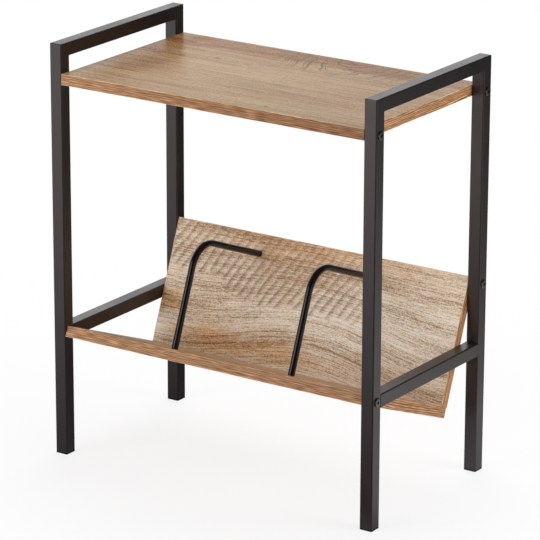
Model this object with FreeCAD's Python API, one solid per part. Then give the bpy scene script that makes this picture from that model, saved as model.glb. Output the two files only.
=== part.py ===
import FreeCAD, Part
import math
import os

# Magazine table: two welded tube frames, a top board and a tilted two-board rack with bent dividers.
# Millimetres. +X to the right, +Y to the rear, +Z up. The origin is on the floor, midway between the feet.

Vector = FreeCAD.Vector

# Overall size, without the bolt heads
overall_width = 550.0
overall_depth = 300.0
overall_height = 620.0

# Square steel tube of the side frames
tube_side = 20.0
tube_wall = 1.2
tube_corner_radius = 1.8
mitre_round = 1.5
crossbar_underside = 177.5

# Plastic foot caps
foot_flange_height = 2.5
foot_plug_length = 14.0
foot_plug_wall = 1.5
foot_plug_gap = 0.4
foot_barb_height = 1.2
foot_barb_gap = 0.05
foot_barb_count = 3

# Faced chipboard and its edge bands
board_thickness = 16.0
band_thickness = 1.0
band_round = 0.6
top_board_drop = 43.0

# Rack
rack_tilt = 21.5
rack_front_bolt_height = 188.5
rack_back_height = 191.0
rack_rear_step = 2.0
rack_bolt_edge = 7.0

# Bent divider rods
rod_diameter = 10.0
rod_bend_radius = 27.0
rod_spacing = 202.0
rod_setback = 55.5
rod_rise = 161.0

# Socket bolts through the legs, and their inserts in the board ends
bolt_diameter = 6.0
bolt_reach = 18.0
bolt_head_diameter = 13.0
bolt_head_height = 3.0
bolt_head_rim = 0.8
bolt_head_flat = 8.0
bolt_head_dome_radius = 8.0
bolt_socket_flats = 4.0
bolt_socket_depth = 2.0
bolt_hole_gap = 0.25
insert_diameter = 8.0
insert_length = 24.0

# Countersunk screws that hold the rods
rod_screw_diameter = 5.0
rod_screw_head = 9.0
rod_screw_grip = 12.0

# Countersunk screws and dowels between the rack's two boards
corner_screw_diameter = 5.0
corner_screw_head = 8.0
corner_screw_grip = 32.0
corner_screw_spacing = 205.0
corner_screw_count = 3
dowel_diameter = 8.0
dowel_in_bottom = 9.0
dowel_in_back = 20.0
dowel_spacing = 150.0

# Cross recess in the countersunk heads
recess_width = 1.1
recess_length = 4.4
recess_depth = 1.6

# Shanks, sleeves, dowels and their holes are many-sided, with a radial gap between them
fastener_sides = 12
fastener_gap = 0.2

# How far cutting tools overshoot
overshoot = 5.0

# Places worked out from the sizes above
leg_x = overall_width / 2 - tube_side / 2
leg_y = overall_depth / 2 - tube_side / 2
board_length = overall_width - 2 * tube_side
top_board_level = overall_height - top_board_drop - board_thickness
half_thickness = board_thickness / 2
tilt_cos = math.cos(math.radians(rack_tilt))
tilt_sin = math.sin(math.radians(rack_tilt))

# In the rack's own frame the bottom board lies flat, with its lower front edge on the X axis.
# Both boards are bolted on the legs' centre lines, which sets how far back the back board stands.
back_bolt_rise = board_thickness + rack_back_height - rack_bolt_edge
bolt_line_rise = back_bolt_rise - half_thickness
back_bolt_run = rack_bolt_edge + (2 * leg_y - bolt_line_rise * tilt_sin) / tilt_cos
back_front = back_bolt_run - half_thickness
back_rear = back_front + board_thickness
bottom_depth = back_rear - rack_rear_step

rack_turn = FreeCAD.Rotation(Vector(1, 0, 0), -rack_tilt)
front_bolt_in_rack = Vector(0, rack_bolt_edge, half_thickness)
front_bolt_place = Vector(0, -leg_y, rack_front_bolt_height)
rack_place = FreeCAD.Placement(front_bolt_place - rack_turn.multVec(front_bolt_in_rack), rack_turn)
back_bolt_place = rack_place.multVec(Vector(0, back_bolt_run, back_bolt_rise))

# Bolt axes on each leg: how far to the rear and how high
top_bolt_level = top_board_level + half_thickness
front_leg_bolts = [(-leg_y, top_bolt_level), (-leg_y, rack_front_bolt_height)]
rear_leg_bolts = [(leg_y, top_bolt_level), (back_bolt_place.y, back_bolt_place.z)]


def rounded_square(side, radius):
    """Face of a square with round corners, centred on the origin and flat on z = 0."""
    half = side / 2
    straight = half - radius
    diagonal = straight + radius * math.sqrt(0.5)
    edges = []
    for quarter in range(4):
        turn = FreeCAD.Rotation(Vector(0, 0, 1), 90 * quarter)
        side_start = turn.multVec(Vector(half, -straight, 0))
        side_end = turn.multVec(Vector(half, straight, 0))
        corner_middle = turn.multVec(Vector(diagonal, diagonal, 0))
        next_side = turn.multVec(Vector(straight, half, 0))
        edges.append(Part.LineSegment(side_start, side_end).toShape())
        edges.append(Part.Arc(side_end, corner_middle, next_side).toShape())
    return Part.Face(Part.Wire(edges))


def bar(side, radius, start, direction):
    """Solid square bar with round long edges, from a start point along a row axis."""
    place = FreeCAD.Placement(start, FreeCAD.Rotation(Vector(0, 0, 1), direction))
    return rounded_square(side, radius).transformed(place.toMatrix()).extrude(direction)


def square_bar(side, start, direction):
    """Solid square bar with sharp edges, from a start point along a row axis."""
    half = side / 2
    place = FreeCAD.Placement(start, FreeCAD.Rotation(Vector(0, 0, 1), direction))
    return Part.makeBox(side, side, direction.Length, Vector(-half, -half, 0)).transformed(place.toMatrix())


def tube(start, direction):
    """Hollow square tube of the frame's section, open at both ends."""
    outside = bar(tube_side, tube_corner_radius, start, direction)
    return outside.cut(square_bar(tube_side - 2 * tube_wall, start, direction))


def many_sided(rings):
    """Flat-sided solid about the Z axis, through a list of (radius, level) rings from the lowest up."""
    outlines = []
    for radius, level in rings:
        angles = [2 * math.pi * index / fastener_sides for index in range(fastener_sides)]
        outlines.append([Vector(radius * math.cos(a), radius * math.sin(a), level) for a in angles])
    loops = [outlines[0][::-1], outlines[-1]]
    for lower, upper in zip(outlines, outlines[1:]):
        for index in range(fastener_sides):
            after = (index + 1) % fastener_sides
            loops.append([lower[index], lower[after], upper[after], upper[index]])
    faces = [Part.Face(Part.makePolygon(loop + loop[:1])) for loop in loops]
    return Part.Solid(Part.Shell(faces))


def shank(radius, length):
    """Many-sided bar along +Z from z = 0."""
    return many_sided([(radius, 0), (radius, length)])


def shank_from(radius, length, start, direction):
    """Many-sided bar from a start point along a direction."""
    place = FreeCAD.Placement(start, FreeCAD.Rotation(Vector(0, 0, 1), direction))
    return shank(radius, length).transformed(place.toMatrix())


def yz_prism(points, x_low, x_high):
    """Prism between two X planes over a polygon of (y, z) points."""
    corners = [Vector(x_low, y, z) for y, z in points]
    outline = Part.makePolygon(corners + corners[:1])
    return Part.Face(outline).extrude(Vector(x_high - x_low, 0, 0))


def mitre_cut(sign, keep_rail):
    """Half of the top corner on the far side of the mitre plane, at the front (-1) or the rear (+1)."""
    face_y = sign * overall_depth / 2
    reach = tube_side + overshoot
    outer = (face_y + sign * overshoot, overall_height + overshoot)
    inner = (face_y - sign * reach, overall_height - reach)
    third = (outer[0], inner[1]) if keep_rail else (inner[0], outer[1])
    return yz_prism([outer, inner, third], -overall_width, overall_width)


def corner_relief(sign):
    """What grinding takes off the outside of a mitred top corner to round it."""
    face_y = sign * overall_depth / 2
    centre = Vector(-overall_width, face_y - sign * mitre_round, overall_height - mitre_round)
    far = (face_y + sign * overshoot, overall_height + overshoot)
    block = yz_prism([(centre.y, centre.z), (far[0], centre.z), far, (centre.y, far[1])],
                     -overall_width, overall_width)
    return block.cut(Part.makeCylinder(mitre_round, 2 * overall_width, centre, Vector(1, 0, 0)))


def x_hole(radius, y, z):
    """Drill across the whole width, along X."""
    return shank_from(radius, 2 * overall_width, Vector(-overall_width, y, z), Vector(1, 0, 0))


def leg(side, sign, bolts):
    """Upright tube on its foot cap, mitred at the top and drilled for its bolts."""
    start = Vector(side * leg_x, sign * leg_y, foot_flange_height)
    post = tube(start, Vector(0, 0, overall_height - foot_flange_height))
    post = post.cut(mitre_cut(sign, keep_rail=False)).cut(corner_relief(sign))
    for y, z in bolts:
        post = post.cut(x_hole(bolt_diameter / 2 + bolt_hole_gap, y, z))
    return post


def top_rail(side):
    """Level tube across the leg tops, mitred at both ends: the carrying handle."""
    start = Vector(side * leg_x, -overall_depth / 2, overall_height - tube_side / 2)
    rail = tube(start, Vector(0, overall_depth, 0))
    for sign in (-1, 1):
        rail = rail.cut(mitre_cut(sign, keep_rail=True)).cut(corner_relief(sign))
    return rail


def lower_crossbar(side):
    """Level tube butted between the two legs of a frame."""
    start = Vector(side * leg_x, -overall_depth / 2 + tube_side, crossbar_underside + tube_side / 2)
    return tube(start, Vector(0, overall_depth - 2 * tube_side, 0))


def foot_cap(side, sign):
    """Plastic cap: a flange under the tube and a hollow barbed plug inside it."""
    floor = Vector(side * leg_x, sign * leg_y, 0)
    seat = floor + Vector(0, 0, foot_flange_height)
    flange = bar(tube_side, tube_corner_radius, floor, Vector(0, 0, foot_flange_height))
    bore = tube_side - 2 * tube_wall
    plug_side = bore - 2 * foot_plug_gap
    cap = flange.fuse(square_bar(plug_side, seat, Vector(0, 0, foot_plug_length)))
    barb_side = bore - 2 * foot_barb_gap
    barb_pitch = foot_plug_length / foot_barb_count
    for index in range(foot_barb_count):
        level = Vector(0, 0, barb_pitch * (index + 1) - foot_barb_height)
        cap = cap.fuse(square_bar(barb_side, seat + level, Vector(0, 0, foot_barb_height)))
    hollow = square_bar(plug_side - 2 * foot_plug_wall, seat, Vector(0, 0, foot_plug_length))
    return cap.cut(hollow).removeSplitter()


def band(size, corner, outward):
    """Edge band: a thin strip whose two long outer edges are rounded over."""
    strip = Part.makeBox(size.x, size.y, size.z, corner)
    box = strip.BoundBox
    middle = box.Center + Vector(outward.x * box.XLength, outward.y * box.YLength, 0) / 2
    along = Vector(outward.y, outward.x, 0)
    outer = [edge for edge in strip.Edges
             if abs((edge.CenterOfMass - middle).dot(outward)) < band_thickness / 10
             and abs(edge.tangentAt(edge.FirstParameter).dot(along)) > 0.9]
    return strip.makeFillet(min(band_round, 0.9 * band_thickness), outer)


def banded_board(depth, front_banded=True):
    """Flat board on z = 0 with its front edge on y = 0: the core and the edge bands round it."""
    half = board_length / 2
    thin = band_thickness
    front = thin if front_banded else 0.0
    core_depth = depth - thin - front
    core_corner = Vector(thin - half, front, 0)
    long_strip = Vector(board_length, thin, board_thickness)
    short_strip = Vector(thin, core_depth, board_thickness)
    pieces = {
        "": Part.makeBox(board_length - 2 * thin, core_depth, board_thickness, core_corner),
        "_rear_band": band(long_strip, Vector(-half, depth - thin, 0), Vector(0, 1, 0)),
        "_left_band": band(short_strip, Vector(-half, front, 0), Vector(-1, 0, 0)),
        "_right_band": band(short_strip, Vector(half - thin, front, 0), Vector(1, 0, 0)),
    }
    if front_banded:
        pieces["_front_band"] = band(long_strip, Vector(-half, 0, 0), Vector(0, -1, 0))
    return pieces


def drilled(pieces, tools):
    """The same pieces with every tool cut out of those that it reaches."""
    result = {}
    for name, piece in pieces.items():
        for tool in tools:
            if piece.BoundBox.intersect(tool.BoundBox):
                piece = piece.cut(tool)
        result[name] = piece
    return result


def placed(pieces, placement):
    """The same pieces moved and turned."""
    return {name: piece.transformed(placement.toMatrix()) for name, piece in pieces.items()}


def end_plugs(radius, length, y, z):
    """Two many-sided bars along X, from the board's two ends inwards."""
    plugs = []
    for side in (-1, 1):
        start = Vector(side * board_length / 2, y, z)
        plugs.append(shank_from(radius, length, start, Vector(-side, 0, 0)))
    return plugs


def insert_holes(y, z):
    """Blind holes for the inserts in both ends of a board."""
    return end_plugs(insert_diameter / 2 + fastener_gap, insert_length + fastener_gap, y, z)


def inserts(y, z):
    """Threaded sleeves in both ends of a board, bored right through."""
    sleeves = end_plugs(insert_diameter / 2, insert_length, y, z)
    bores = end_plugs(bolt_diameter / 2 + fastener_gap, insert_length, y, z)
    return [sleeve.cut(bore) for sleeve, bore in zip(sleeves, bores)]


def socket_bolt():
    """Bolt along +Z with its head below z = 0: domed head, hex socket and plain shank."""
    head_radius = bolt_head_diameter / 2
    flat_radius = bolt_head_flat / 2
    rim_level = -bolt_head_rim
    top = -bolt_head_height
    chord_mid = Vector((head_radius + flat_radius) / 2, 0, (rim_level + top) / 2)
    chord = Vector(flat_radius - head_radius, 0, top - rim_level)
    bulge = Vector(-chord.z, 0, chord.x) * (chord.Length / (8 * bolt_head_dome_radius))
    outline = [
        Part.LineSegment(Vector(0, 0, 0), Vector(head_radius, 0, 0)),
        Part.LineSegment(Vector(head_radius, 0, 0), Vector(head_radius, 0, rim_level)),
        Part.Arc(Vector(head_radius, 0, rim_level), chord_mid + bulge, Vector(flat_radius, 0, top)),
        Part.LineSegment(Vector(flat_radius, 0, top), Vector(0, 0, top)),
        Part.LineSegment(Vector(0, 0, top), Vector(0, 0, 0)),
    ]
    profile = Part.Face(Part.Wire([segment.toShape() for segment in outline]))
    head = profile.revolve(Vector(0, 0, 0), Vector(0, 0, 1), 360)
    corner_radius = bolt_socket_flats / math.sqrt(3)
    corners = []
    for index in range(7):
        angle = math.radians(60 * index)
        corners.append(Vector(corner_radius * math.cos(angle), corner_radius * math.sin(angle), top))
    socket = Part.Face(Part.makePolygon(corners)).extrude(Vector(0, 0, bolt_socket_depth))
    stem = shank(bolt_diameter / 2, tube_side + bolt_reach)
    return head.cut(socket).fuse(stem).removeSplitter()


def bolts_through(y, z):
    """The left and right bolts on one axis, heads on the outer faces of the legs."""
    pair = []
    for side in (-1, 1):
        turn = FreeCAD.Rotation(Vector(0, 0, 1), Vector(-side, 0, 0))
        seat = FreeCAD.Placement(Vector(side * overall_width / 2, y, z), turn)
        pair.append(socket_bolt().transformed(seat.toMatrix()))
    return pair


def countersunk(diameter, head_diameter, length, gap=0.0):
    """Countersunk screw along +Z from its flat head at z = 0, or its hole when given a gap."""
    radius = diameter / 2 + gap
    head_radius = head_diameter / 2 + gap
    return many_sided([(head_radius, 0), (radius, head_radius - radius), (radius, length + gap)])


def cross_screw(diameter, head_diameter, length):
    """Countersunk screw with a cross recess in its head."""
    screw = countersunk(diameter, head_diameter, length)
    for size_x, size_y in ((recess_length, recess_width), (recess_width, recess_length)):
        slot = Part.makeBox(size_x, size_y, recess_depth, Vector(-size_x / 2, -size_y / 2, 0))
        screw = screw.cut(slot)
    return screw


def divider_rod(x):
    """Round rod in the rack's frame: up from the bottom board, one bend, then back to the back board."""
    low = Vector(x, rod_setback, board_thickness)
    corner = Vector(x, rod_setback, board_thickness + rod_rise)
    end = Vector(x, back_front, corner.z)
    bend_start = corner - Vector(0, 0, rod_bend_radius)
    bend_end = corner + Vector(0, rod_bend_radius, 0)
    bend_centre = bend_start + Vector(0, rod_bend_radius, 0)
    disc = Part.Face(Part.Wire([Part.Circle(bend_start, Vector(0, 0, 1), rod_diameter / 2).toShape()]))
    rise = Part.makeCylinder(rod_diameter / 2, bend_start.z - low.z, low, Vector(0, 0, 1))
    bend = disc.revolve(bend_centre, Vector(-1, 0, 0), 90)
    run = Part.makeCylinder(rod_diameter / 2, end.y - bend_end.y, bend_end, Vector(0, 1, 0))
    rod = rise.fuse([bend, run]).removeSplitter()
    bore = rod_screw_diameter / 2 + fastener_gap
    depth = rod_screw_grip + fastener_gap
    rod = rod.cut(shank_from(bore, depth, low, Vector(0, 0, 1)))
    return rod.cut(shank_from(bore, depth, end, Vector(0, -1, 0)))


def row(shape, placement, count, spacing):
    """Copies of a shape, seated by a placement and spread in a row along X, centred on x = 0."""
    seated = shape.transformed(placement.toMatrix())
    first = -spacing * (count - 1) / 2
    return [seated.translated(Vector(first + spacing * index, 0, 0)) for index in range(count)]


def write(name, solids):
    """One file for each node, holding its solids."""
    for solid in solids:
        if len(solid.Solids) != 1 or not solid.isValid() or not solid.isClosed():
            raise ValueError("open or invalid solid in " + name)
    shape = solids[0] if len(solids) == 1 else Part.makeCompound(solids)
    shape.exportStep(os.path.join("parts", name + ".step"))


os.makedirs("parts", exist_ok=True)

# Side frames
for side, side_name in ((-1, "left"), (1, "right")):
    write(side_name + "_front_leg", [leg(side, -1, front_leg_bolts)])
    write(side_name + "_rear_leg", [leg(side, 1, rear_leg_bolts)])
    write(side_name + "_top_rail", [top_rail(side)])
    write(side_name + "_lower_crossbar", [lower_crossbar(side)])
    write(side_name + "_front_foot_cap", [foot_cap(side, -1)])
    write(side_name + "_rear_foot_cap", [foot_cap(side, 1)])

# Top board
top_place = FreeCAD.Placement(Vector(0, -overall_depth / 2, top_board_level), FreeCAD.Rotation())
top_holes = []
for bolt_y in (tube_side / 2, overall_depth - tube_side / 2):
    top_holes += insert_holes(bolt_y, half_thickness)
top_board = placed(drilled(banded_board(overall_depth), top_holes), top_place)
for suffix, piece in top_board.items():
    write("top_board" + suffix, [piece])

# Screws that go through the rack's boards, in the rack's frame
screw_up = FreeCAD.Placement(Vector(0, rod_setback, 0), FreeCAD.Rotation())
inward = FreeCAD.Rotation(Vector(0, 0, 1), Vector(0, -1, 0))
screw_in = FreeCAD.Placement(Vector(0, back_rear, board_thickness + rod_rise), inward)
corner_up = FreeCAD.Placement(Vector(0, back_front + half_thickness, 0), FreeCAD.Rotation())
rod_screw_length = board_thickness + rod_screw_grip
corner_screw_length = board_thickness + corner_screw_grip
rod_screw = cross_screw(rod_screw_diameter, rod_screw_head, rod_screw_length)
rod_screw_hole = countersunk(rod_screw_diameter, rod_screw_head, rod_screw_length, fastener_gap)
corner_screw = cross_screw(corner_screw_diameter, corner_screw_head, corner_screw_length)
corner_hole = countersunk(corner_screw_diameter, corner_screw_head, corner_screw_length, fastener_gap)
base_screws = row(rod_screw, screw_up, 2, rod_spacing)
base_screw_holes = row(rod_screw_hole, screw_up, 2, rod_spacing)
back_screws = row(rod_screw, screw_in, 2, rod_spacing)
back_screw_holes = row(rod_screw_hole, screw_in, 2, rod_spacing)
corner_screws = row(corner_screw, corner_up, corner_screw_count, corner_screw_spacing)
corner_holes = row(corner_hole, corner_up, corner_screw_count, corner_screw_spacing)

# Dowels between the rack's boards
dowel_length = dowel_in_bottom + dowel_in_back
dowel_level = board_thickness - dowel_in_bottom
dowel_up = FreeCAD.Placement(Vector(0, back_front + half_thickness, dowel_level), FreeCAD.Rotation())
dowels = row(shank(dowel_diameter / 2, dowel_length), dowel_up, 2, dowel_spacing)
dowel_holes = row(shank(dowel_diameter / 2 + fastener_gap, dowel_length), dowel_up, 2, dowel_spacing)

# Rack boards
bottom_tools = insert_holes(rack_bolt_edge, half_thickness) + base_screw_holes + corner_holes + dowel_holes
bottom_board = drilled(banded_board(bottom_depth), bottom_tools)
for suffix, piece in placed(bottom_board, rack_place).items():
    write("rack_bottom_board" + suffix, [piece])

# The back board stands on its bare edge, so its flat rear edge becomes the upper one
stand_up = FreeCAD.Placement(Vector(0, back_rear, board_thickness), FreeCAD.Rotation(Vector(1, 0, 0), 90))
back_pieces = placed(banded_board(rack_back_height, front_banded=False), stand_up)
back_pieces["_upper_band"] = back_pieces.pop("_rear_band")
back_tools = insert_holes(back_bolt_run, back_bolt_rise) + back_screw_holes + corner_holes + dowel_holes
for suffix, piece in placed(drilled(back_pieces, back_tools), rack_place).items():
    write("rack_back_board" + suffix, [piece])

# Divider rods and the rack's fasteners
rack_groups = {
    "left_divider_rod": [divider_rod(-rod_spacing / 2)],
    "right_divider_rod": [divider_rod(rod_spacing / 2)],
    "divider_base_screws": base_screws,
    "divider_back_screws": back_screws,
    "rack_corner_screws": corner_screws,
    "rack_corner_dowels": dowels,
    "rack_front_inserts": inserts(rack_bolt_edge, half_thickness),
    "rack_rear_inserts": inserts(back_bolt_run, back_bolt_rise),
}
for name, solids in rack_groups.items():
    write(name, [solid.transformed(rack_place.toMatrix()) for solid in solids])

# Bolts and the top board's inserts
write("rack_front_bolts", bolts_through(*front_leg_bolts[1]))
write("rack_rear_bolts", bolts_through(*rear_leg_bolts[1]))
write("top_board_bolts", bolts_through(*front_leg_bolts[0]) + bolts_through(*rear_leg_bolts[0]))
write("top_board_inserts", inserts(-leg_y, top_bolt_level) + inserts(leg_y, top_bolt_level))
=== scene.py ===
import math

import bpy
import numpy as np
from mathutils import Matrix, Vector


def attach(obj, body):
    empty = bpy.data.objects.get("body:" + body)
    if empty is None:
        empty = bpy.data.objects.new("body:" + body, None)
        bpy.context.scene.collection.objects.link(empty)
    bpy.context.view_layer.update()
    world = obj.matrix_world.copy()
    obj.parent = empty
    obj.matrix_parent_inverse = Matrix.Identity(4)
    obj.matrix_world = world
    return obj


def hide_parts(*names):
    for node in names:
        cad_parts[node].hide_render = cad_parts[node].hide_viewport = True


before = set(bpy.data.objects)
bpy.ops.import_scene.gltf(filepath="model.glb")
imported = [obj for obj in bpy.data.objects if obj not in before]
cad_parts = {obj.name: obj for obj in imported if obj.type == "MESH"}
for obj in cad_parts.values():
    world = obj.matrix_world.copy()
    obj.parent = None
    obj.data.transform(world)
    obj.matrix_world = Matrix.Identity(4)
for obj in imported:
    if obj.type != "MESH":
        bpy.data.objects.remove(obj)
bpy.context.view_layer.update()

# Directions of the table, in metres: +X to the right, +Y to the rear, +Z up
ACROSS = np.array([1.0, 0.0, 0.0])
REARWARD = np.array([0.0, 1.0, 0.0])
UPWARD = np.array([0.0, 0.0, 1.0])

# Tilted rack, from the middle of its lower front edge: run goes to the rear, rise up from the board
RACK_TILT = math.radians(21.5)
RACK_CORNER = np.array([0.0, -0.149445, 0.183622])
RACK_RUN = np.array([0.0, math.cos(RACK_TILT), -math.sin(RACK_TILT)])
RACK_RISE = np.array([0.0, math.sin(RACK_TILT), math.cos(RACK_TILT)])

# Boards and legs, where the solids have them
TOP_FACE = 0.577
BOARD_THICKNESS = 0.016
HALF_THICK = BOARD_THICKNESS / 2
BACK_FRONT = 0.224309
BACK_REAR = BACK_FRONT + BOARD_THICKNESS
LEG_FACE = 0.275
LEG_CENTRE_Y = 0.140

# Divider rods
ROD_RADIUS = 0.005
ROD_BEND = 0.040
ROD_OUT = 0.101
ROD_SETBACK = 0.0555
ROD_HEIGHT = BOARD_THICKNESS + 0.161
ROD_ROUND = 0.0004
ROD_SIDES = 64
ROD_BEND_STEPS = 40

# Socket bolts
BOLT_SIDES = 96
BOLT_HEAD_RADIUS = 0.0065
BOLT_HEAD_HEIGHT = 0.0022
BOLT_FLAT_RADIUS = 0.0046
BOLT_RIM_HEIGHT = 0.0007
BOLT_DOME_STEPS = 9
BOLT_DOME_FULLNESS = 0.8
BOLT_SHANK_RADIUS = 0.003
BOLT_SHANK_LENGTH = 0.038
BOLT_TIP = 0.0006
BOLT_SOCKET_FLATS = 0.004
BOLT_SOCKET_DEPTH = 0.0018
BOLT_SOCKET_DISH = 0.0003
BOLT_SOCKET_LIP = 0.0002
TOP_BOLT_LEVEL = 0.569
FRONT_BOLT_LEVEL = 0.1885
REAR_BOLT_LEVEL = 0.28457

# Countersunk screws
SCREW_SIDES = 96
SCREW_RADIUS = 0.0025
SCREW_LIP = 0.00012
SCREW_TIP = 0.006
ROD_SCREW_HEAD = 0.0045
ROD_SCREW_LENGTH = 0.028
CORNER_SCREW_HEAD = 0.004
CORNER_SCREW_LENGTH = 0.048
CORNER_SCREW_SPACING = 0.205
RECESS_HALF_LENGTH = 0.0022
RECESS_HALF_WIDTH = RECESS_HALF_LENGTH * math.tan(math.radians(15))
RECESS_DEPTH = 0.0016

# Edges of rods, bolts and screws sharper than this stay sharp
CREASE = math.radians(35.0)

# Wood: noise cells to the metre along the grain, across it and through the board
DRIFT_CELLS = (3, 9, 9)
RIPPLE_CELLS = (16, 45, 45)
STREAK_CELLS = (2.5, 45, 45)
LINE_CELLS = (12, 620, 620)
DASH_CELLS = (60, 950, 950)
SPECK_CELLS = (420, 850, 850)
VEIN_CELLS = (9, 520, 520)
RAGGED_CELLS = (22, 75, 75)
CURL_CELLS = (20, 30, 30)
SAW_WOBBLE_CELLS = (16, 16, 16)
FLECK_CELLS = (110, 560, 560)
BAND_WOBBLE_CELLS = (8, 110, 20)
BAND_DASH_CELLS = (50, 900, 20)
BAND_BROAD_CELLS = (9, 190, 30)
DOWEL_CELLS = (60, 900, 900)

# Wood: how far the lines drift and ripple, the depth of the relief, and the laminate's gloss
GRAIN_DRIFT = 0.014
GRAIN_RIPPLE = 0.003
GRAIN_RELIEF = 0.00006
DOWEL_RELIEF = 0.00005
OAK_GLOSS = 0.03

# Oval patches in the print and of painted shade: full inside the core, gone at the rim, both as shares of the
# radius
PATCH_CORE = 0.25
PATCH_RIM = 1.1
PATCH_RAGGED = 1.4

# Saw marks printed on the back board
SAW_LEAN = math.radians(30.6)
SAW_PITCH = 0.0128
SAW_WOBBLE = 0.8
SAW_UNEVEN_CELLS = (0.73, 1, 1)
SAW_STRENGTH = 0.78
FLECK_STRENGTH = 0.7

# Edge bands, with tones as (tone at the middle, its fall for each metre along: a painted falloff of light)
BAND_LINE_PITCH = 0.0029
BAND_WOBBLE = 2.6
BAND_HIGHLIGHT_WIDTH = 0.0012
BAND_RELIEF = 0.00003
BAND_GLOSS = 0.2
TOP_BAND_TONE_AND_PAINTED_FALLOFF = (0.45, 0.45)
RACK_BAND_TONE_AND_PAINTED_FALLOFF = (0.52, 0.15)
END_BAND_TONE_AND_PAINTED_FALLOFF = (0.48, 0.3)
LONG_BAND_LINES = 0.35
END_BAND_LINES = 0.7

# Studio: soft light all round, floor, and lamps as (name, place, size, watts, mirrored in the table)
SOFT_LIGHT = 0.5
FLOOR_HALF = 4.0
FLOOR_GREY = (0.9, 0.9, 0.9, 1)
WHITE = (1, 1, 1, 1)
LAMP_AIM = (0, 0, 0.32)
LAMPS = (
    ("key_lamp", (-0.95, -2.2, 1.0), 2.0, 28, True),
    ("fill_lamp", (2.7, 0.5, 0.95), 1.6, 43, False),
    ("top_lamp", (-0.5, 0.9, 2.9), 1.4, 32, True),
    ("rear_lamp", (-1.7, 2.4, 1.15), 1.6, 5, True),
)

# Camera: the photograph's direction and place, and its focal length in pixels
CAMERA_AZIMUTH = math.radians(34.057)
CAMERA_PITCH = math.radians(17.886)
CAMERA_ROLL = math.radians(0.2)
CAMERA_PLACE = (2.6838, -3.9670, 1.8379)
FOCAL_PIXELS = 3500
PHOTO_PIXELS = 540
FILM_WIDTH = 36


def srgb(red, green, blue):
    """Colour written as it shows on screen, 0 to 255, as the linear light that a shader takes."""
    shown = np.array([red, green, blue]) / 255.0
    linear = np.where(shown <= 0.04045, shown / 12.92, ((shown + 0.055) / 1.055) ** 2.4)
    return (*linear.tolist(), 1.0)


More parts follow.
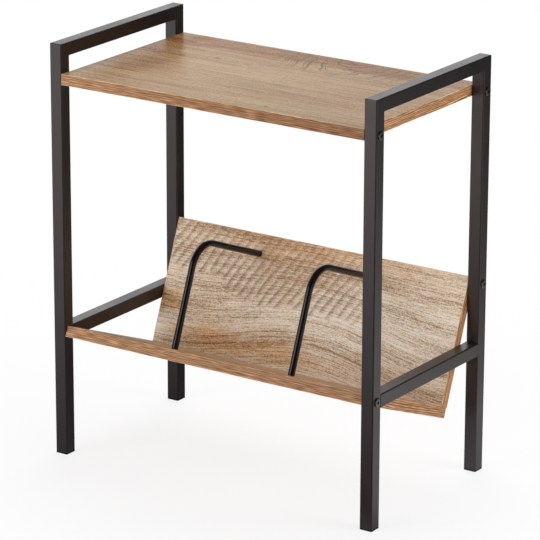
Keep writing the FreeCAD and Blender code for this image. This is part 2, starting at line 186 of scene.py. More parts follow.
class Nodes:
    """A node tree, with one method for each kind of node that the finishes and the studio share."""

    def __init__(self, tree):
        self.tree = tree

    def put(self, value, socket):
        """Sets a socket, or links it when the value is another node's output."""
        if isinstance(value, bpy.types.NodeSocket):
            self.tree.links.new(value, socket)
        else:
            socket.default_value = value

    def node(self, kind, inputs, **options):
        """Adds a node, sets its options, and sets or links its inputs."""
        made = self.tree.nodes.new(kind)
        for option, value in options.items():
            setattr(made, option, value)
        for key, value in inputs.items():
            self.put(value, made.inputs[key])
        return made

    def place(self, corner=(0, 0, 0), first=ACROSS, second=REARWARD):
        """Coordinates in a piece's own frame: its corner at nought, its first two axes as given."""
        turn = Matrix((first, second, np.cross(first, second))).transposed().to_euler()
        here = self.node("ShaderNodeTexCoord", {}).outputs["Object"]
        inputs = {"Vector": here, "Location": tuple(corner), "Rotation": tuple(turn)}
        return self.node("ShaderNodeMapping", inputs, vector_type="TEXTURE").outputs[0]

    def turned(self, vector, angle):
        """Coordinates turned in the board's plane."""
        return self.node("ShaderNodeMapping", {"Vector": vector, "Rotation": (0, 0, angle)}).outputs[0]

    def along(self, vector, axis):
        """One coordinate by itself."""
        return self.node("ShaderNodeSeparateXYZ", {0: vector}).outputs[axis]

    def on_line(self, value):
        """A value as a place on a line, for noise that follows it alone."""
        return self.node("ShaderNodeCombineXYZ", {0: value}).outputs[0]

    def raised(self, vector, lift):
        """Coordinates with a lift taken off the second one, so that a pattern moves up by the lift."""
        drop = self.node("ShaderNodeCombineXYZ", {1: lift}).outputs[0]
        return self.node("ShaderNodeVectorMath", {0: vector, 1: drop}, operation="SUBTRACT").outputs[0]

    def reach(self, vector, centre, radii):
        """Distance from an oval's centre, one at its rim."""
        inputs = {"Vector": vector, "Location": (*centre, 0), "Scale": (*radii, 1000)}
        oval = self.node("ShaderNodeMapping", inputs, vector_type="TEXTURE").outputs[0]
        return self.node("ShaderNodeVectorMath", {0: oval}, operation="LENGTH").outputs["Value"]

    def spot(self, vector, centre, radii, ragged):
        """Soft oval patch: one at its core, nought past its rim, its edge pushed about by a ragged value."""
        reach = self.maths("ADD", self.reach(vector, centre, radii), ragged)
        return self.span(reach, PATCH_CORE, PATCH_RIM, 1.0, 0.0)

    def noise(self, vector, cells=(1, 1, 1), shift=(0, 0, 0), detail=3.0, roughness=0.5):
        """Cloudy value about one half, with so many cells to the metre along each axis, then shifted."""
        inputs = {"Vector": vector, "Scale": cells, "Location": shift}
        stretched = self.node("ShaderNodeMapping", inputs).outputs[0]
        inputs = {"Vector": stretched, "Scale": 1.0, "Detail": detail, "Roughness": roughness}
        return self.node("ShaderNodeTexNoise", inputs).outputs[0]

    def maths(self, operation, first, second=0.0, third=0.0):
        """One sum on two or three values."""
        return self.node("ShaderNodeMath", {0: first, 1: second, 2: third}, operation=operation).outputs[0]

    def product(self, first, *others):
        """All the values multiplied together."""
        result = first
        for other in others:
            result = self.maths("MULTIPLY", result, other)
        return result

    def total(self, start, parts):
        """A start and several (value, share) parts, each value counted from one half."""
        result = start - sum(share for value, share in parts) / 2
        for value, share in parts:
            result = self.maths("MULTIPLY_ADD", value, share, result)
        return result

    def span(self, value, low, high, to_low=0.0, to_high=1.0):
        """Value carried smoothly from one range to another, and held at its ends."""
        inputs = {"Value": value, "From Min": low, "From Max": high, "To Min": to_low, "To Max": to_high}
        return self.node("ShaderNodeMapRange", inputs, interpolation_type="SMOOTHSTEP").outputs[0]

    def ramp(self, value, *stops):
        """Colour along a list of (place, colour) stops."""
        made = self.node("ShaderNodeValToRGB", {0: value})
        band = made.color_ramp
        for index, (at, colour) in enumerate(stops):
            stop = band.elements[index] if index < 2 else band.elements.new(at)
            stop.position = at
            stop.color = colour
        return made.outputs[0]

    def tones(self, value, dark, middle, light):
        """Colour from dark at nought over a middle one to light at one, each as it shows on screen."""
        return self.ramp(value, (0.0, srgb(*dark)), (0.5, srgb(*middle)), (1.0, srgb(*light)))

    def mix(self, share, first, second):
        """Two colours blended by a share."""
        return self.node("ShaderNodeMix", {0: share, 6: first, 7: second}, data_type="RGBA").outputs[2]

    def rays(self):
        """Whether a ray is the camera's own, and whether it was mirrored or went through something clear."""
        path = self.node("ShaderNodeLightPath", {}).outputs
        mirrored = self.maths("MAXIMUM", path["Is Glossy Ray"], path["Is Transmission Ray"])
        return path["Is Camera Ray"], mirrored


class Finish(Nodes):
    """A surface finish: a material and its nodes."""

    def __init__(self, name):
        self.material = bpy.data.materials.new(name)
        self.material.use_nodes = True
        super().__init__(self.material.node_tree)
        self.surface = self.tree.nodes["Principled BSDF"]

    def set(self, **inputs):
        """Sets or links the surface shader's own sockets, named with underscores for spaces."""
        for key, value in inputs.items():
            self.put(value, self.surface.inputs[key.replace("_", " ")])

    def bump(self, height, distance):
        """Relief: heights of nought to one become this distance in metres."""
        self.set(Normal=self.node("ShaderNodeBump", {"Height": height, "Distance": distance}).outputs[0])


def coated(name, dark, light, sheen, cloud_size, peel_size, peel_height, **constants):
    """An even coat or skin: cloudy colour and sheen, and a fine peel all over."""
    finish = Finish(name)
    here = finish.place()
    cloud = finish.noise(here, (1 / cloud_size,) * 3, detail=3.0)
    peel = finish.noise(here, (1 / peel_size,) * 3, detail=2.0)
    rough = finish.total(0.5, ((cloud, 0.8), (peel, 0.6)))
    finish.set(Base_Color=finish.ramp(cloud, (0.3, srgb(*dark)), (0.7, srgb(*light))),
               Roughness=finish.span(rough, 0.25, 0.75, *sheen), **constants)
    finish.bump(peel, peel_height)
    return finish.material


def powder_coat():
    """Satin black powder coat on the tubes: warm black, fine orange peel."""
    return coated("powder_coat", (15, 11, 11), (20, 15, 15), sheen=(0.36, 0.46),
                  cloud_size=0.07, peel_size=0.0011, peel_height=0.00003,
                  Specular_IOR_Level=0.8, Specular_Tint=(1.0, 0.86, 0.88, 1.0))


def rod_paint():
    """Semi-gloss black paint on the divider rods."""
    return coated("rod_black", (11, 10, 10), (15, 14, 13), sheen=(0.14, 0.2),
                  cloud_size=0.05, peel_size=0.0015, peel_height=0.00002,
                  Specular_IOR_Level=0.36, Specular_Tint=(1.0, 0.86, 0.82, 1.0))


def bolt_black():
    """Satin black finish of the socket bolts."""
    return coated("bolt_black", (24, 21, 20), (32, 29, 28), sheen=(0.24, 0.36),
                  cloud_size=0.004, peel_size=0.0004, peel_height=0.00001, Specular_IOR_Level=0.9)


def foot_plastic():
    """Moulded black plastic of the foot caps, with a fine sparked grain."""
    return coated("foot_plastic", (9, 9, 9), (14, 13, 13), sheen=(0.42, 0.6),
                  cloud_size=0.012, peel_size=0.0007, peel_height=0.00004, Specular_IOR_Level=0.3)


def zinc_plate():
    """Bright zinc plate on the inserts and screws."""
    return coated("zinc_steel", (168, 166, 160), (206, 205, 202), sheen=(0.24, 0.42),
                  cloud_size=0.003, peel_size=0.0005, peel_height=0.00001, Metallic=1.0)


def beech():
    """Straight-grained beech of the dowels, grain along their length."""
    finish = Finish("beech")
    stick = finish.place(RACK_CORNER, RACK_RISE, ACROSS)
    grain = finish.noise(stick, DOWEL_CELLS, detail=3.0)
    finish.set(Base_Color=finish.ramp(grain, (0.3, srgb(176, 138, 100)), (0.7, srgb(214, 182, 144))),
               Roughness=finish.span(grain, 0.3, 0.7, 0.5, 0.7))
    finish.bump(grain, DOWEL_RELIEF)
    return finish.material


def oak_figure(finish, board, seed):
    """Tone and grain of the printed oak, on lines that wander: streaks, lines, dashes, specks and veins.

    All are noise drawn out along the board: streaks are about 20 mm across, the others 1 to 2 mm. Veins are
    dark where their noise is lowest. Tone is a weighted sum of them all, grain of the lines and specks.
    """
    drift = finish.noise(board, DRIFT_CELLS, (seed, 0, 0), detail=0.8)
    ripple = finish.noise(board, RIPPLE_CELLS, (0, seed, 0), detail=1.0)
    flow = finish.raised(board, finish.total(0.0, ((drift, GRAIN_DRIFT), (ripple, GRAIN_RIPPLE))))
    streaks = finish.noise(flow, STREAK_CELLS, (seed, seed, 0), detail=1.0)
    lines = finish.noise(flow, LINE_CELLS, (seed, 0, seed), detail=0.6)
    dashes = finish.noise(flow, DASH_CELLS, (seed, seed, seed), detail=0.5)
    specks = finish.noise(flow, SPECK_CELLS, (0, seed, seed), detail=0.5)
    veins = finish.span(finish.noise(flow, VEIN_CELLS, (0, 0, seed), detail=0.6), 0.26, 0.4)
    tone = finish.total(0.43, ((streaks, 1.1), (lines, 1.2), (dashes, 0.9), (specks, 1.4), (veins, 0.2)))
    return tone, finish.total(0.5, ((lines, 0.7), (specks, 0.6)))


def oak_surface(finish, colour, grain, sheen):
    """Satin laminate over the print: sheen and relief follow the grain."""
    rough = finish.span(grain, 0.3, 0.7, *sheen)
    finish.set(Base_Color=colour, Roughness=rough, Specular_IOR_Level=OAK_GLOSS)
    finish.bump(grain, GRAIN_RELIEF)
    return finish.material


def patches(finish, board, start, places):
    """A start value raised or lowered by ragged oval patches, each (centre, radii, amount)."""
    ragged = finish.noise(board, RAGGED_CELLS, detail=3.0, roughness=0.6)
    ragged = finish.maths("MULTIPLY_ADD", ragged, PATCH_RAGGED, -PATCH_RAGGED / 2)
    result = start
    for centre, radii, amount in places:
        patch = finish.spot(board, centre, radii, ragged)
        result = finish.maths("MULTIPLY_ADD", patch, amount, result)
    return result


def curled_lines(finish, board):
    """Share of dark line in the curls at the top's rear: noise on the distance from an oval's centre."""
    wave = finish.noise(board, CURL_CELLS, detail=2.0)
    rings = finish.maths("MULTIPLY_ADD", wave, 0.05, finish.reach(board, (0.06, 0.20), (0.5, 1.1)))
    coil = finish.on_line(finish.product(rings, 130.0))
    curl = finish.span(finish.noise(coil, detail=1.0), 0.46, 0.6)
    ragged = finish.maths("SUBTRACT", wave, 0.5)
    return finish.product(curl, finish.spot(board, (0.06, 0.115), (0.20, 0.060), ragged), 0.95)


def oak_top():
    """Top board's print: quiet greige oak, browner along the rear with curled dark lines, three pin knots.

    Browner patches at the left end are painted shade and a painted reflection of the left rail.
    """
    finish = Finish("oak_top")
    board = finish.place((0, 0, TOP_FACE))
    tone, grain = oak_figure(finish, board, 3.7)
    pale = finish.tones(tone, (140, 108, 72), (161, 131, 97), (182, 156, 124))
    brown = finish.tones(tone, (84, 48, 22), (136, 91, 54), (174, 131, 90))
    warmth = patches(finish, board, 0.05, (
        # The first two patches: painted shade and painted reflection of the left rail, browner along the left
        # end
        ((-0.235, 0.095), (0.07, 0.070), 0.85),
        ((-0.215, -0.020), (0.08, 0.090), 0.65),
        ((-0.10, 0.120), (0.17, 0.055), 0.75),
        ((0.12, 0.130), (0.20, 0.040), 0.8),
        ((-0.18, 0.080), (0.12, 0.030), -0.2),
        ((0.08, -0.070), (0.17, 0.040), 0.3),
    ))
    knots = patches(finish, board, 0.0, (
        ((-0.125, 0.051), (0.009, 0.004), 0.8),
        ((-0.068, 0.044), (0.008, 0.003), 0.6),
        ((0.081, -0.128), (0.006, 0.003), 0.8),
    ))
    colour = finish.mix(warmth, pale, brown)
    colour = finish.mix(curled_lines(finish, board), colour, srgb(98, 61, 31))
    colour = finish.mix(knots, colour, srgb(92, 58, 30))
    return oak_surface(finish, colour, grain, sheen=(0.24, 0.32))


def saw_marks(finish, board, grain):
    """Shares of dark mark and of pale fleck where slanted saw marks are printed on the back board.

    The marks are a saw-tooth across slanted lines: each is dark at one edge and fades over to the next. They
    stop at uneven heights, are strongest at that lower end, fade out to the right, and the grain breaks them.
    """
    across = finish.along(board, 0)
    rise = finish.along(board, 1)
    slant = finish.along(finish.turned(board, SAW_LEAN), 0)
    wobble = finish.noise(board, SAW_WOBBLE_CELLS, detail=1.0)
    strokes = finish.total(0.0, ((wobble, SAW_WOBBLE), (slant, 1 / SAW_PITCH)))
    tooth = finish.maths("FRACT", strokes)
    uneven = finish.noise(finish.on_line(finish.maths("FLOOR", strokes)), SAW_UNEVEN_CELLS, detail=0.0)
    stop = finish.maths("MULTIPLY_ADD", uneven, 0.05, finish.span(across, -0.19, -0.11, 0.109, 0.078))
    above = finish.maths("SUBTRACT", rise, stop)
    depth = finish.product(finish.span(above, 0.0, 0.008), finish.span(above, 0.02, 0.08, 1.0, 0.7),
                           finish.span(across, 0.05, 0.12, 1.0, 0.0))
    broken = finish.span(grain, 0.35, 0.65, 1.0, 0.7)
    mark = finish.product(finish.span(tooth, 0.0, 0.14), finish.span(tooth, 0.16, 0.78, 1.0, 0.0),
                          depth, broken, SAW_STRENGTH)
    flecks = finish.span(finish.noise(board, FLECK_CELLS, detail=1.0), 0.56, 0.7)
    return mark, finish.product(flecks, finish.product(depth, FLECK_STRENGTH))


def oak_back():
    """Back board's print: saw marks over the upper left, brown patches low down, pale grain at the right.

    Lines arch over the middle and fan down to the right. Along the top edge it is browner: a painted
    shadow of the top board.
    """
    finish = Finish("oak_back")
    board = finish.place(RACK_CORNER, ACROSS, RACK_RISE)
    aside = finish.maths("ABSOLUTE", finish.maths("SUBTRACT", finish.along(board, 0), 0.02))
    arch = finish.product(finish.span(aside, 0.0, 0.24, 0.034, 0.0),
                          finish.span(finish.along(board, 1), 0.09, 0.19, 1.0, 0.15))
    tone, grain = oak_figure(finish, finish.raised(board, arch), 1.3)
    pale = finish.tones(tone, (164, 135, 107), (229, 212, 191), (249, 242, 230))
    brown = finish.tones(tone, (142, 98, 62), (207, 166, 126), (234, 204, 168))
    warmth = patches(finish, board, 0.32, (
        # Painted shadow of the top board: browner along the back board's top edge
        ((-0.02, 0.205), (0.27, 0.040), 0.65),
        ((-0.03, 0.158), (0.090, 0.030), 0.3),
        ((-0.250, 0.082), (0.055, 0.022), 0.75),
        ((-0.235, 0.035), (0.060, 0.025), -0.1),
        ((-0.150, 0.036), (0.090, 0.026), 0.75),
        ((-0.040, 0.038), (0.090, 0.024), 0.6),
        ((0.040, 0.132), (0.060, 0.022), -0.5),
        ((-0.080, 0.178), (0.040, 0.012), 0.7),
        ((-0.060, 0.092), (0.120, 0.018), -0.3),
        ((0.045, 0.085), (0.070, 0.045), -0.6),
        ((0.170, 0.110), (0.130, 0.070), -0.34),
    ))
    mark, flecks = saw_marks(finish, board, grain)
    colour = finish.mix(warmth, pale, brown)
    colour = finish.mix(mark, colour, srgb(134, 110, 92))
    colour = finish.mix(flecks, colour, srgb(228, 210, 190))
    return oak_surface(finish, colour, grain, sheen=(0.32, 0.44))


def oak_rack():
    """Bottom board's print: the same oak, plain and pale."""
    finish = Finish("oak_rack")
    board = finish.place(RACK_CORNER, ACROSS, RACK_RUN)
    tone, grain = oak_figure(finish, board, 8.1)
    pale = finish.tones(tone, (140, 102, 72), (189, 151, 115), (220, 194, 162))
    brown = finish.tones(tone, (108, 68, 40), (164, 118, 80), (206, 168, 132))
    warmth = patches(finish, board, 0.2, (
        ((-0.14, 0.070), (0.15, 0.030), 0.5),
        ((0.16, 0.160), (0.12, 0.025), 0.6),
    ))
    return oak_surface(finish, finish.mix(warmth, pale, brown), grain, sheen=(0.3, 0.42))


def oak_band(name, lengthwise, thickness, middle, seed, tone, line_share):
    """Edge band's print: redder oak in thin dark lines along the band, and paler at both edges: a painted
    highlight.

    The lines are a triangle wave across the band, bent by noise, with dashes of noise drawn out along it.
    Middle is a point at half the band's thickness. Tone gives the tone there and its fall for each metre
    along the band, a painted falloff of light, and line share is how strong the lines are.
    """
    finish = Finish(name)
    strip = finish.place(middle, lengthwise, thickness)
    rise = finish.along(strip, 1)
    wobble = finish.noise(strip, BAND_WOBBLE_CELLS, (seed, 0, 0), detail=1.0)
    strokes = finish.maths("MULTIPLY_ADD", wobble, BAND_WOBBLE, finish.product(rise, 1 / BAND_LINE_PITCH))
    lines = finish.product(finish.maths("PINGPONG", strokes, 0.5), 2.0)
    dashes = finish.noise(strip, BAND_DASH_CELLS, (0, seed, 0), detail=0.5)
    broad = finish.noise(strip, BAND_BROAD_CELLS, (0, seed, 0), detail=1.0)
    level, painted_falloff = tone
    shade = finish.total(level, ((lines, line_share), (dashes, 1.15), (broad, 0.15)))
    # Painted falloff of light: the tone falls steadily along the band
    shade = finish.maths("MULTIPLY_ADD", finish.along(strip, 0), -painted_falloff, shade)
    # Painted highlight: paler within 1.2 mm of both edges of the band, for light caught on its rounded edges
    painted_edge_highlight = finish.span(finish.maths("ABSOLUTE", rise), HALF_THICK - BAND_HIGHLIGHT_WIDTH, HALF_THICK, 0.0, 0.4)
    shade = finish.maths("ADD", shade, painted_edge_highlight)
    colour = finish.ramp(shade, (0.1, srgb(104, 62, 34)), (0.5, srgb(155, 111, 76)),
                         (0.85, srgb(196, 154, 113)), (1.0, srgb(224, 192, 155)))
    rough = finish.span(shade, 0.2, 0.8, 0.4, 0.52)
    finish.set(Base_Color=colour, Roughness=rough, Specular_IOR_Level=BAND_GLOSS)
    finish.bump(lines, BAND_RELIEF)
    return finish.material


def closed_shell(rings):
    """Points and faces of a closed surface through a stack of rings, each end closed by a fan to its middle.

    rings is an array of rings by points by three; every ring runs the same way round.
    """
    count, sides = rings.shape[:2]
    points = np.concatenate([rings.reshape(-1, 3), rings[:1].mean(axis=1), rings[-1:].mean(axis=1)])
    row, side = np.meshgrid(np.arange(count - 1), np.arange(sides), indexing="ij")
    after = (side + 1) % sides
    quads = np.stack([row * sides + side, row * sides + after, (row + 1) * sides + after,
                      (row + 1) * sides + side], axis=-1).reshape(-1, 4)
    around = np.arange(sides)
    following = (around + 1) % sides
    first = np.stack([following, around, np.full(sides, count * sides)], axis=-1)
    last_ring = (count - 1) * sides
    last = np.stack([last_ring + around, last_ring + following, np.full(sides, count * sides + 1)], axis=-1)
    return points, quads.tolist() + first.tolist() + last.tolist()


def piece(name, shells, material, nodes):
    """One object from closed shells, smooth but for edges sharper than the crease, standing for nodes."""
    points, faces, start = [], [], 0
    for shell_points, shell_faces in shells:
        points.append(shell_points)
        faces += [[index + start for index in face] for face in shell_faces]
        start += len(shell_points)
    mesh = bpy.data.meshes.new(name)
    mesh.from_pydata(np.concatenate(points).tolist(), [], faces)
    mesh.shade_smooth()
    mesh.set_sharp_from_angle(angle=CREASE)
    mesh.materials.append(material)
    made = bpy.data.objects.new(name, mesh)
    bpy.context.scene.collection.objects.link(made)
    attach(made, "root")
    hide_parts(*nodes)


def in_rack(points):
    """Points written as (across, run, rise) in the tilted rack, carried into the shared frame."""
    return RACK_CORNER + points @ np.stack([ACROSS, RACK_RUN, RACK_RISE])


def divider_rod(across):
    """A circle carried along the rod's path: straight up, a quarter circle back, straight to the back board.

    At each step the circle lies square to the path: its first axis is across the rack, its second is the
    path's inward normal. At the two ends it shrinks a little, which rounds the cut edge.
    """
    bend = np.linspace(0, math.pi / 2, ROD_BEND_STEPS)
    low = BOARD_THICKNESS
    bend_run = ROD_SETBACK + ROD_BEND
    bend_rise = ROD_HEIGHT - ROD_BEND
    run = np.concatenate([[ROD_SETBACK] * 2, bend_run - ROD_BEND * np.cos(bend),
                          [BACK_FRONT - ROD_ROUND, BACK_FRONT]])
    rise = np.concatenate([[low, low + ROD_ROUND], bend_rise + ROD_BEND * np.sin(bend), [ROD_HEIGHT] * 2])
    lean = np.concatenate([[0, 0], bend, [math.pi / 2] * 2])
    radius = np.full(len(run), ROD_RADIUS)
    radius[[0, -1]] -= ROD_ROUND
    angle = np.linspace(0, 2 * math.pi, ROD_SIDES, endpoint=False)
    side = radius[:, None] * np.cos(angle)
    inward = radius[:, None] * np.sin(angle)
    points = np.stack([across + side, run[:, None] + inward * np.cos(lean)[:, None],
                       rise[:, None] - inward * np.sin(lean)[:, None]], axis=-1)
    return closed_shell(in_rack(points))


def lathe_rings(profile, sides):
    """Radii, as rings by sides, and heights of a profile whose radii are single numbers or whole rings."""
    radius = np.stack([np.broadcast_to(ring, sides) for ring, height in profile])
    return radius, np.array([height for ring, height in profile])


def socket_bolt(outward, y, z):
    """Lathe profile about X with a six-sided socket: rings from the socket's floor over the dome to the tip.

    Inside the socket a ring's radius follows a hexagon, flats / 2 / cos(a), with a the angle from the nearest
    flat's middle, and outside it every ring is a circle. The dome is a quarter wave from the flat to the rim:
    radius by sine, height by a power of cosine. Outward is +1 on the right-hand legs and -1 on the left.
    """
    angle = np.linspace(0, 2 * math.pi, BOLT_SIDES, endpoint=False)
    sixth = math.pi / 3
    hexagon = BOLT_SOCKET_FLATS / 2 / np.cos((angle + sixth / 2) % sixth - sixth / 2)
    dome = np.linspace(0, 1, BOLT_DOME_STEPS) * math.pi / 2
    dome_radius = BOLT_FLAT_RADIUS + (BOLT_HEAD_RADIUS - BOLT_FLAT_RADIUS) * np.sin(dome)
    dome_height = BOLT_RIM_HEIGHT + (BOLT_HEAD_HEIGHT - BOLT_RIM_HEIGHT) * np.cos(dome) ** BOLT_DOME_FULLNESS
    floor = BOLT_HEAD_HEIGHT - BOLT_SOCKET_DEPTH
    profile = [
        (0.6 * hexagon, floor - BOLT_SOCKET_DISH),
        (hexagon, floor),
        (hexagon, BOLT_HEAD_HEIGHT - BOLT_SOCKET_LIP),
        (hexagon + BOLT_SOCKET_LIP, BOLT_HEAD_HEIGHT),
        *zip(dome_radius, dome_height),
        (BOLT_HEAD_RADIUS, 0.0),
        (BOLT_SHANK_RADIUS, 0.0),
        (BOLT_SHANK_RADIUS, BOLT_TIP - BOLT_SHANK_LENGTH),
        (BOLT_SHANK_RADIUS - BOLT_TIP, -BOLT_SHANK_LENGTH),
    ]
    radius, height = lathe_rings(profile, BOLT_SIDES)
    points = np.stack([np.broadcast_to(outward * (LEG_FACE + height[:, None]), radius.shape),
                       y - outward * radius * np.cos(angle), z + radius * np.sin(angle)], axis=-1)
    return closed_shell(points)


def cross_screw(head_radius, length, seat, inward):
    """Lathe profile with a cross recess: rings from the recess floor over the flat head and down to the tip.

    Inside the recess a ring follows the cross: half length / cos(a) near an arm's middle, half width / sin(a)
    along its sides, with a the angle from the nearest arm. Seat is the head's middle and inward the way that
    the screw points, both as (across, run, rise) in the rack.
    """
    angle = np.linspace(0, 2 * math.pi, SCREW_SIDES, endpoint=False)
    quarter = math.pi / 2
    off = np.abs((angle + quarter / 2) % quarter - quarter / 2)
    side_on = np.tan(off) > RECESS_HALF_WIDTH / RECESS_HALF_LENGTH + 1e-6
    arm_side = RECESS_HALF_WIDTH / np.sin(np.maximum(off, 0.01))
    cross = np.where(side_on, arm_side, RECESS_HALF_LENGTH / np.cos(off))
    profile = [
        (0.35 * cross, RECESS_DEPTH),
        (0.8 * cross, 0.6 * RECESS_DEPTH),
        (cross, SCREW_LIP),
        (cross + SCREW_LIP, 0.0),
        (head_radius - SCREW_LIP, 0.0),
        (head_radius, SCREW_LIP),
        (SCREW_RADIUS, head_radius - SCREW_RADIUS + SCREW_LIP),
        (SCREW_RADIUS, length - SCREW_TIP),
        (0.2 * SCREW_RADIUS, length),
    ]
    radius, height = lathe_rings(profile, SCREW_SIDES)
    inward = np.array(inward, float)
    second = np.cross(inward, ACROSS)
    spoke = np.cos(angle)[:, None] * ACROSS - np.sin(angle)[:, None] * second
    points = np.array(seat) + radius[..., None] * spoke + height[:, None, None] * inward
    return closed_shell(in_rack(points))


# Finishes of the carried-over pieces, by the ends of their names
coat = powder_coat()
black_steel = bolt_black()
rod_black = rod_paint()
zinc = zinc_plate()
plain_finishes = {
    "_leg": coat,
    "_top_rail": coat,
    "_lower_crossbar": coat,
    "_foot_cap": foot_plastic(),
    "_bolts": black_steel,
    "_divider_rod": rod_black,
    "_inserts": zinc,
    "_screws": zinc,
    "_corner_dowels": beech(),
}
for name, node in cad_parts.items():
    node.data.materials.clear()
    for ending, finish in plain_finishes.items():
        if name.endswith(ending):
            node.data.materials.append(finish)

# Boards as (face, depth, thickness, middle, tone and painted falloff of the long bands), with their edge
# bands
top_middle = UPWARD * (TOP_FACE - HALF_THICK)
bottom_middle = RACK_CORNER + RACK_RISE * HALF_THICK
back_middle = RACK_CORNER + RACK_RUN * (BACK_FRONT + HALF_THICK)
boards = {
    "top_board": (oak_top(), REARWARD, UPWARD, top_middle, TOP_BAND_TONE_AND_PAINTED_FALLOFF),
    "rack_bottom_board": (oak_rack(), RACK_RUN, RACK_RISE, bottom_middle, RACK_BAND_TONE_AND_PAINTED_FALLOFF),
    "rack_back_board": (oak_back(), RACK_RISE, RACK_RUN, back_middle, RACK_BAND_TONE_AND_PAINTED_FALLOFF),
}
for seed, (board, (face, depth, thickness, middle, long_tone_and_painted_falloff)) in enumerate(boards.items()):
    long_band = oak_band(board + "_long_bands", ACROSS, thickness, middle, 2.3 + 3.7 * seed, long_tone_and_painted_falloff,
                         LONG_BAND_LINES)
    end_band = oak_band(board + "_end_bands", depth, thickness, middle, 2.9 + 3.1 * seed, END_BAND_TONE_AND_PAINTED_FALLOFF,
                        END_BAND_LINES)
    for name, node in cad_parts.items():
        if name == board:
            node.data.materials.append(face)
        elif name.startswith(board) and name.endswith("_band"):
            is_end = name.endswith(("_left_band", "_right_band"))
            node.data.materials.append(end_band if is_end else long_band)

# Rods and bolts at full detail
piece("left_bent_divider", [divider_rod(-ROD_OUT)], rod_black, ["left_divider_rod"])
piece("right_bent_divider", [divider_rod(ROD_OUT)], rod_black, ["right_divider_rod"])
bolt_places = {
    "top_board_bolts": [(-LEG_CENTRE_Y, TOP_BOLT_LEVEL), (LEG_CENTRE_Y, TOP_BOLT_LEVEL)],
    "rack_front_bolts": [(-LEG_CENTRE_Y, FRONT_BOLT_LEVEL)],
    "rack_rear_bolts": [(LEG_CENTRE_Y, REAR_BOLT_LEVEL)],
}
for name, places in bolt_places.items():
    shells = [socket_bolt(outward, y, z) for outward in (-1, 1) for y, z in places]
    piece(name + "_turned", shells, black_steel, [name])

# Screws at full detail, each group as (head radius, length, run, rise, inward, places across)
up, forward = (0, 0, 1), (0, -1, 0)
beside_rods = (-ROD_OUT, ROD_OUT)
along_corner = (-CORNER_SCREW_SPACING, 0, CORNER_SCREW_SPACING)
corner_run = BACK_FRONT + HALF_THICK
screw_places = {
    "divider_base_screws": (ROD_SCREW_HEAD, ROD_SCREW_LENGTH, ROD_SETBACK, 0, up, beside_rods),
    "divider_back_screws": (ROD_SCREW_HEAD, ROD_SCREW_LENGTH, BACK_REAR, ROD_HEIGHT, forward, beside_rods),
    "rack_corner_screws": (CORNER_SCREW_HEAD, CORNER_SCREW_LENGTH, corner_run, 0, up, along_corner),
}
for name, (head, length, run, rise, inward, places) in screw_places.items():
    shells = [cross_screw(head, length, (across, run, rise), inward) for across in places]
    piece(name + "_turned", shells, zinc, [name])


def studio_floor():
    """White floor that keeps a faint shadow, fading to plain white before its rim.

    To the camera it is nearly white by itself. Mirrored in the table it glows with a painted pool of light:
    bright at the right and far out to the front left, and dim elsewhere.
    """
    mesh = bpy.data.meshes.new("floor")
    corners = [(-FLOOR_HALF, -FLOOR_HALF, 0), (FLOOR_HALF, -FLOOR_HALF, 0),
               (FLOOR_HALF, FLOOR_HALF, 0), (-FLOOR_HALF, FLOOR_HALF, 0)]
    mesh.from_pydata(corners, [], [(0, 1, 2, 3)])
    floor = bpy.data.objects.new("floor", mesh)
    bpy.context.scene.collection.objects.link(floor)
    finish = Finish("white_floor")
    finish.set(Base_Color=FLOOR_GREY, Roughness=0.9, Specular_IOR_Level=0.0)
    camera_ray, mirrored = finish.rays()
    here = finish.node("ShaderNodeTexCoord", {}).outputs["Object"]
    x, y = finish.along(here, 0), finish.along(here, 1)
    away = finish.node("ShaderNodeVectorMath", {0: here}, operation="LENGTH").outputs["Value"]
    seen = finish.product(camera_ray, finish.span(away, 0.3, 1.2, 0.8, 1.0))
    share = finish.maths("MAXIMUM", seen, mirrored)

    # Painted pool of light in mirrored rays: a field at the right, bounded behind, at the left and in front,
    # but not in front when far out
    behind = finish.span(finish.maths("MULTIPLY_ADD", x, -0.6, y), 0.0, 0.95, 1.0, 0.08)
    past_left = finish.span(finish.maths("MULTIPLY_ADD", y, -0.676, x), -0.1, 0.15, 0.02, 1.0)
    past_left = finish.product(past_left, finish.span(x, -0.1, 0.5, 0.15, 1.0))
    beside = finish.span(finish.maths("MULTIPLY_ADD", x, -0.58, y), -0.75, -0.35, 0.05, 1.0)
    beside = finish.maths("MAXIMUM", beside, finish.span(x, 1.4, 2.0))
    in_front = finish.maths("MAXIMUM", finish.span(y, -0.3, 0.0, 0.1, 1.0), finish.span(x, 1.6, 2.4))
    painted_light_right = finish.product(behind, past_left, beside, in_front)

    # Painted light far out to the front left, in mirrored rays
    painted_light_front_left = finish.span(finish.maths("MULTIPLY_ADD", x, 1.2, y), 0.6, -3.0, 0.05, 1.0)
    strength = finish.maths("MAXIMUM", finish.maths("MAXIMUM", painted_light_right, painted_light_front_left), camera_ray)
    glow = finish.node("ShaderNodeEmission", {"Color": WHITE, "Strength": strength})
    both = finish.node("ShaderNodeMixShader", {0: share, 1: finish.surface.outputs[0], 2: glow.outputs[0]})
    finish.put(both.outputs[0], finish.tree.nodes["Material Output"].inputs["Surface"])
    mesh.materials.append(finish.material)


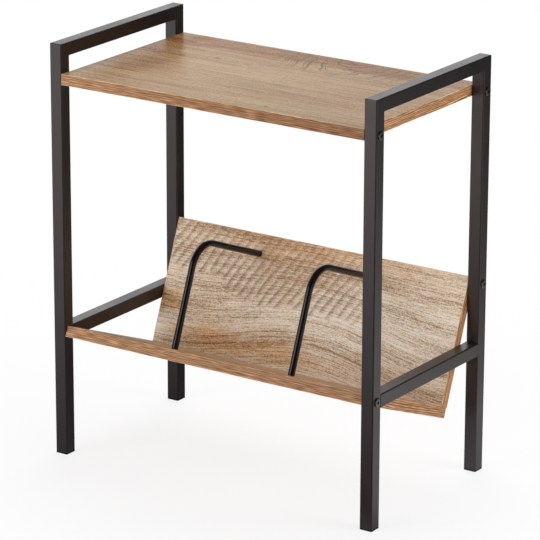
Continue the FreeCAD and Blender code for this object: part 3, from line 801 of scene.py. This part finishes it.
def studio_light():
    """White surroundings and soft lamps.

    Mirrored in the table, the surroundings are dim overhead, in front and at the right, but for a strip
    there. The fill lamp isn't mirrored, because from the left it would wash out the boards.
    """
    world = bpy.data.worlds.new("studio")
    bpy.context.scene.world = world
    world.use_nodes = True
    sky = Nodes(world.node_tree)
    camera_ray, mirrored = sky.rays()
    way = sky.node("ShaderNodeTexCoord", {}).outputs["Generated"]
    x, y, z = (sky.along(way, axis) for axis in range(3))
    walls = sky.product(sky.span(z, 0.4, 0.8, 1.0, 0.4), sky.span(x, -0.35, 0.05, 1.0, 0.1),
                        sky.span(y, -0.4, 0.2, 0.2, 1.0))
    side = sky.maths("ABSOLUTE", sky.maths("ADD", y, 0.1))
    strip = sky.product(sky.span(side, 0.22, 0.32, 1.0, 0.0), sky.span(x, 0.5, 0.7),
                        sky.span(z, 0.3, 0.4, 1.0, 0.0))
    walls = sky.maths("MAXIMUM", walls, strip)
    strength = sky.maths("MULTIPLY_ADD", mirrored, walls, camera_ray)
    shown = sky.maths("MAXIMUM", camera_ray, mirrored)
    strength = sky.maths("ADD", strength, sky.span(shown, 0.0, 1.0, SOFT_LIGHT, 0.0))
    back = world.node_tree.nodes["Background"]
    sky.put(WHITE, back.inputs["Color"])
    sky.put(strength, back.inputs["Strength"])
    for name, place, size, power, is_mirrored in LAMPS:
        lamp = bpy.data.lights.new(name, "AREA")
        lamp.shape = "DISK"
        lamp.size = size
        lamp.energy = power
        holder = bpy.data.objects.new(name, lamp)
        holder.location = place
        holder.visible_glossy = is_mirrored
        aim = Vector(LAMP_AIM) - Vector(place)
        holder.rotation_euler = aim.to_track_quat("-Z", "Y").to_euler()
        bpy.context.scene.collection.objects.link(holder)


def photo_camera():
    """Long lens from the front right, a little above: the photograph's viewing angle."""
    level = math.cos(CAMERA_PITCH)
    forward = Vector((-math.sin(CAMERA_AZIMUTH) * level, math.cos(CAMERA_AZIMUTH) * level,
                      -math.sin(CAMERA_PITCH)))
    right = Vector((math.cos(CAMERA_AZIMUTH), math.sin(CAMERA_AZIMUTH), 0))
    up = right.cross(forward)
    side = math.cos(CAMERA_ROLL) * right + math.sin(CAMERA_ROLL) * up
    top = math.cos(CAMERA_ROLL) * up - math.sin(CAMERA_ROLL) * right
    camera = bpy.data.objects.new("photo_camera", bpy.data.cameras.new("photo_camera"))
    camera.data.lens = FOCAL_PIXELS / PHOTO_PIXELS * FILM_WIDTH
    camera.data.sensor_width = FILM_WIDTH
    camera.data.clip_end = 100
    turn = Matrix((side, top, -forward)).transposed().to_4x4()
    camera.matrix_world = Matrix.Translation(CAMERA_PLACE) @ turn
    bpy.context.scene.collection.objects.link(camera)
    bpy.context.scene.camera = camera


studio_floor()
studio_light()
photo_camera()
bpy.context.scene.view_settings.view_transform = "Standard"
